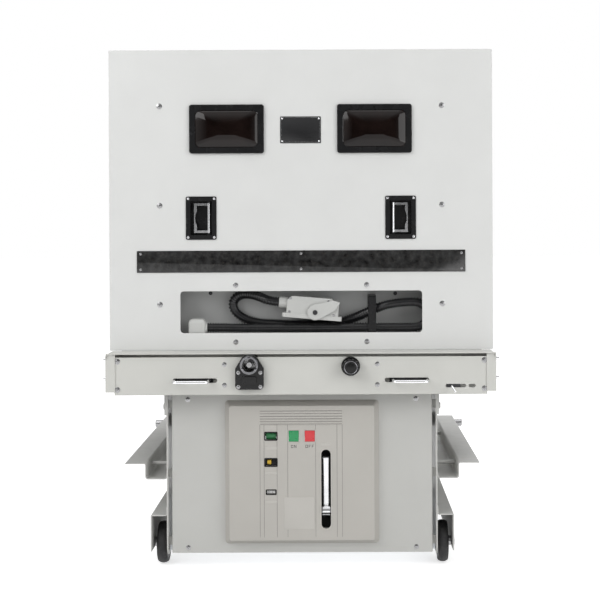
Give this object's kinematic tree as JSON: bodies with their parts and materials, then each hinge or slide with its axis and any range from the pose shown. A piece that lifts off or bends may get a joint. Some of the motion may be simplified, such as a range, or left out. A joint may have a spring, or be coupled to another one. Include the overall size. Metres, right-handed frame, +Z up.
{
  "type": "indoor withdrawable vacuum circuit breaker",
  "caption": "Withdrawable vacuum circuit breaker on a wheeled truck: spring mechanism below, racking crossbeam, tall front panel, insulated poles with tulip contacts behind.",
  "frame": {"origin": "on the floor, under the middle of the breaker's outline at rest", "axes": "+Z up; the operator stands at -Y and faces +Y into the cubicle; +X to the operator's right"},
  "size_m": [1.122, 1.012, 1.492],
  "materials": {
    "grey_cabinet_paint": "fine satin",
    "truck_frame_paint": "satin",
    "zinc_plated_sheet": "satin",
    "black_phosphate_steel": "matt",
    "bright_steel": "polished",
    "dark_moulding": "fine grain",
    "smoked_lens": "gloss",
    "light_grey_tray": "satin",
    "light_grey_moulding": "fine grain",
    "conduit_polymer": "satin",
    "fascia_moulding": "fine texture",
    "green_button_polymer": "satin",
    "red_button_polymer": "satin",
    "epoxy_insulation": "gloss",
    "interrupter_ceramic": "glazed",
    "silvered_copper": "satin",
    "copper_strap": "satin",
    "sleeve_polymer": "satin",
    "spring_steel": "oiled",
    "cast_wheel": "machined",
    "motor_paint": "satin",
    "white_flag": "satin",
    "hub_casting": "satin",
    "knob_polymer": "satin"
  },
  "bodies": {
    "truck": {"side_plate_left": "truck_frame_paint", "side_plate_right": "truck_frame_paint", "box_front_plate": "grey_cabinet_paint", "box_base_plate": "zinc_plated_sheet", "guide_rails": "truck_frame_paint", "wheel_housings": "truck_frame_paint", "hanger_angles": "truck_frame_paint", "rear_guide_pins": "bright_steel", "wheel_axles": "bright_steel", "chassis_frame": "truck_frame_paint", "deck_plate": "truck_frame_paint", "front_panel": "grey_cabinet_paint", "panel_posts": "zinc_plated_sheet", "window_bezels": "dark_moulding", "window_lenses": "smoked_lens", "handle_cups": "dark_moulding", "connector_tray": "light_grey_tray", "conduit": "conduit_polymer", "conduit_elbow": "light_grey_moulding", "conduit_clamp": "dark_moulding", "secondary_plug": "light_grey_moulding", "mechanism_fascia": "fascia_moulding", "mechanism_plates": "zinc_plated_sheet", "spring_pedestal": "zinc_plated_sheet", "closing_spring": "spring_steel", "opening_spring": "spring_steel", "charging_motor": "motor_paint", "auxiliary_switch": "dark_moulding", "insulating_cylinder_left": "epoxy_insulation", "insulating_cylinder_centre": "epoxy_insulation", "insulating_cylinder_right": "epoxy_insulation", "vacuum_interrupters": "interrupter_ceramic", "contact_arms": "silvered_copper", "arm_sleeves": "sleeve_polymer", "tulip_contacts": "silvered_copper", "flexible_connectors": "copper_strap"},
    "crossbeam": {"crossbeam_channel": "grey_cabinet_paint", "crossbeam_front_plate": "grey_cabinet_paint", "crank_hub": "hub_casting", "beam_guide_bars": "bright_steel"},
    "lead_screw": {"lead_screw": "bright_steel"},
    "lock_slide_left": {"lock_slide_left": "bright_steel"},
    "lock_slide_right": {"lock_slide_right": "bright_steel"},
    "interlock_lever": {"interlock_lever": "bright_steel"},
    "selector_knob": {"selector_knob": "knob_polymer"},
    "handle_bail_left": {"handle_bail_left": "bright_steel"},
    "handle_bail_right": {"handle_bail_right": "bright_steel"},
    "plug_lever": {"plug_lever": "light_grey_moulding"},
    "open_button": {"open_button": "red_button_polymer"},
    "close_button": {"close_button": "green_button_polymer"},
    "position_flag": {"position_flag": "white_flag"},
    "charging_lever": {"charging_lever": "bright_steel"},
    "main_shaft": {"main_shaft": "black_phosphate_steel"},
    "camshaft": {"camshaft": "black_phosphate_steel"},
    "moving_contacts": {"moving_stems": "silvered_copper", "drive_rods": "epoxy_insulation"},
    "wheel_front_left": {"wheel_front_left": "cast_wheel"},
    "wheel_front_right": {"wheel_front_right": "cast_wheel"},
    "wheel_rear_left": {"wheel_rear_left": "cast_wheel"},
    "wheel_rear_right": {"wheel_rear_right": "cast_wheel"}
  },
  "joints": [
    {"name": "beam_racking", "type": "slide", "parent": "truck", "child": "crossbeam", "axis": [0, -1, 0], "range_m": [0, 0.2]},
    {"name": "lead_screw_spin", "type": "hinge", "parent": "crossbeam", "child": "lead_screw", "pos_m": [-0.144, -0.47, 0.598], "axis": [0, -1, 0], "range_deg": [0, 7200]},
    {"name": "lock_left_slide", "type": "slide", "parent": "crossbeam", "child": "lock_slide_left", "axis": [1, 0, 0], "range_m": [0, 0.018], "stiffness_N_per_m": 120},
    {"name": "lock_right_slide", "type": "slide", "parent": "crossbeam", "child": "lock_slide_right", "axis": [-1, 0, 0], "range_m": [0, 0.018], "stiffness_N_per_m": 120},
    {"name": "interlock_lever_slide", "type": "slide", "parent": "crossbeam", "child": "interlock_lever", "axis": [1, 0, 0], "range_m": [0, 0.03]},
    {"name": "selector_knob_turn", "type": "hinge", "parent": "crossbeam", "child": "selector_knob", "pos_m": [0.14, -0.461, 0.592], "axis": [0, 1, 0], "range_deg": [0, 90]},
    {"name": "wheel_front_left_spin", "type": "hinge", "parent": "truck", "child": "wheel_front_left", "pos_m": [-0.4085, -0.304, 0.06], "axis": [1, 0, 0], "continuous": true},
    {"name": "wheel_front_right_spin", "type": "hinge", "parent": "truck", "child": "wheel_front_right", "pos_m": [0.4085, -0.304, 0.06], "axis": [1, 0, 0], "continuous": true},
    {"name": "wheel_rear_left_spin", "type": "hinge", "parent": "truck", "child": "wheel_rear_left", "pos_m": [-0.4085, 0.284, 0.06], "axis": [1, 0, 0], "continuous": true},
    {"name": "wheel_rear_right_spin", "type": "hinge", "parent": "truck", "child": "wheel_rear_right", "pos_m": [0.4085, 0.284, 0.06], "axis": [1, 0, 0], "continuous": true},
    {"name": "bail_left_fold", "type": "hinge", "parent": "truck", "child": "handle_bail_left", "pos_m": [-0.265, -0.386, 1.01], "axis": [0, 0, 1], "range_deg": [0, 90]},
    {"name": "bail_right_fold", "type": "hinge", "parent": "truck", "child": "handle_bail_right", "pos_m": [0.265, -0.386, 1.01], "axis": [0, 0, -1], "range_deg": [0, 90]},
    {"name": "plug_lever_turn", "type": "hinge", "parent": "truck", "child": "plug_lever", "pos_m": [0.0394, -0.36, 0.73737], "axis": [0, -1, 0], "range_deg": [0, 18]},
    {"name": "open_button_press", "type": "slide", "parent": "truck", "child": "open_button", "axis": [0, 1, 0], "range_m": [0, 0.006], "stiffness_N_per_m": 200},
    {"name": "close_button_press", "type": "slide", "parent": "truck", "child": "close_button", "axis": [0, 1, 0], "range_m": [0, 0.006], "stiffness_N_per_m": 200},
    {"name": "charging_lever_swing", "type": "hinge", "parent": "truck", "child": "charging_lever", "pos_m": [0.069, -0.347, 0.16], "axis": [1, 0, 0], "range_deg": [0, 65], "stiffness_Nm_per_rad": 1.5},
    {"name": "main_shaft_turn", "type": "hinge", "parent": "truck", "child": "main_shaft", "pos_m": [0, -0.194, 0.4], "axis": [1, 0, 0], "range_deg": [0, 18.99]},
    {"name": "contacts_lift", "type": "slide", "parent": "truck", "child": "moving_contacts", "axis": [0, 0, 1], "range_m": [0, 0.0198], "deforming": ["flexible_connectors", "opening_spring"]},
    {"name": "position_flag_turn", "type": "hinge", "parent": "truck", "child": "position_flag", "pos_m": [-0.088, -0.388, 0.386], "axis": [1, 0, 0], "range_deg": [0, 56.99]},
    {"name": "camshaft_turn", "type": "hinge", "parent": "truck", "child": "camshaft", "pos_m": [0, -0.278, 0.262], "axis": [1, 0, 0], "continuous": true}
  ],
  "couplings": [
    {"joint": "lead_screw_spin", "follows": "beam_racking", "rad_per_m": 628.32},
    {"joint": "contacts_lift", "follows": "main_shaft_turn", "m_per_rad": 0.059725},
    {"joint": "position_flag_turn", "follows": "main_shaft_turn", "ratio": 3}
  ]
}
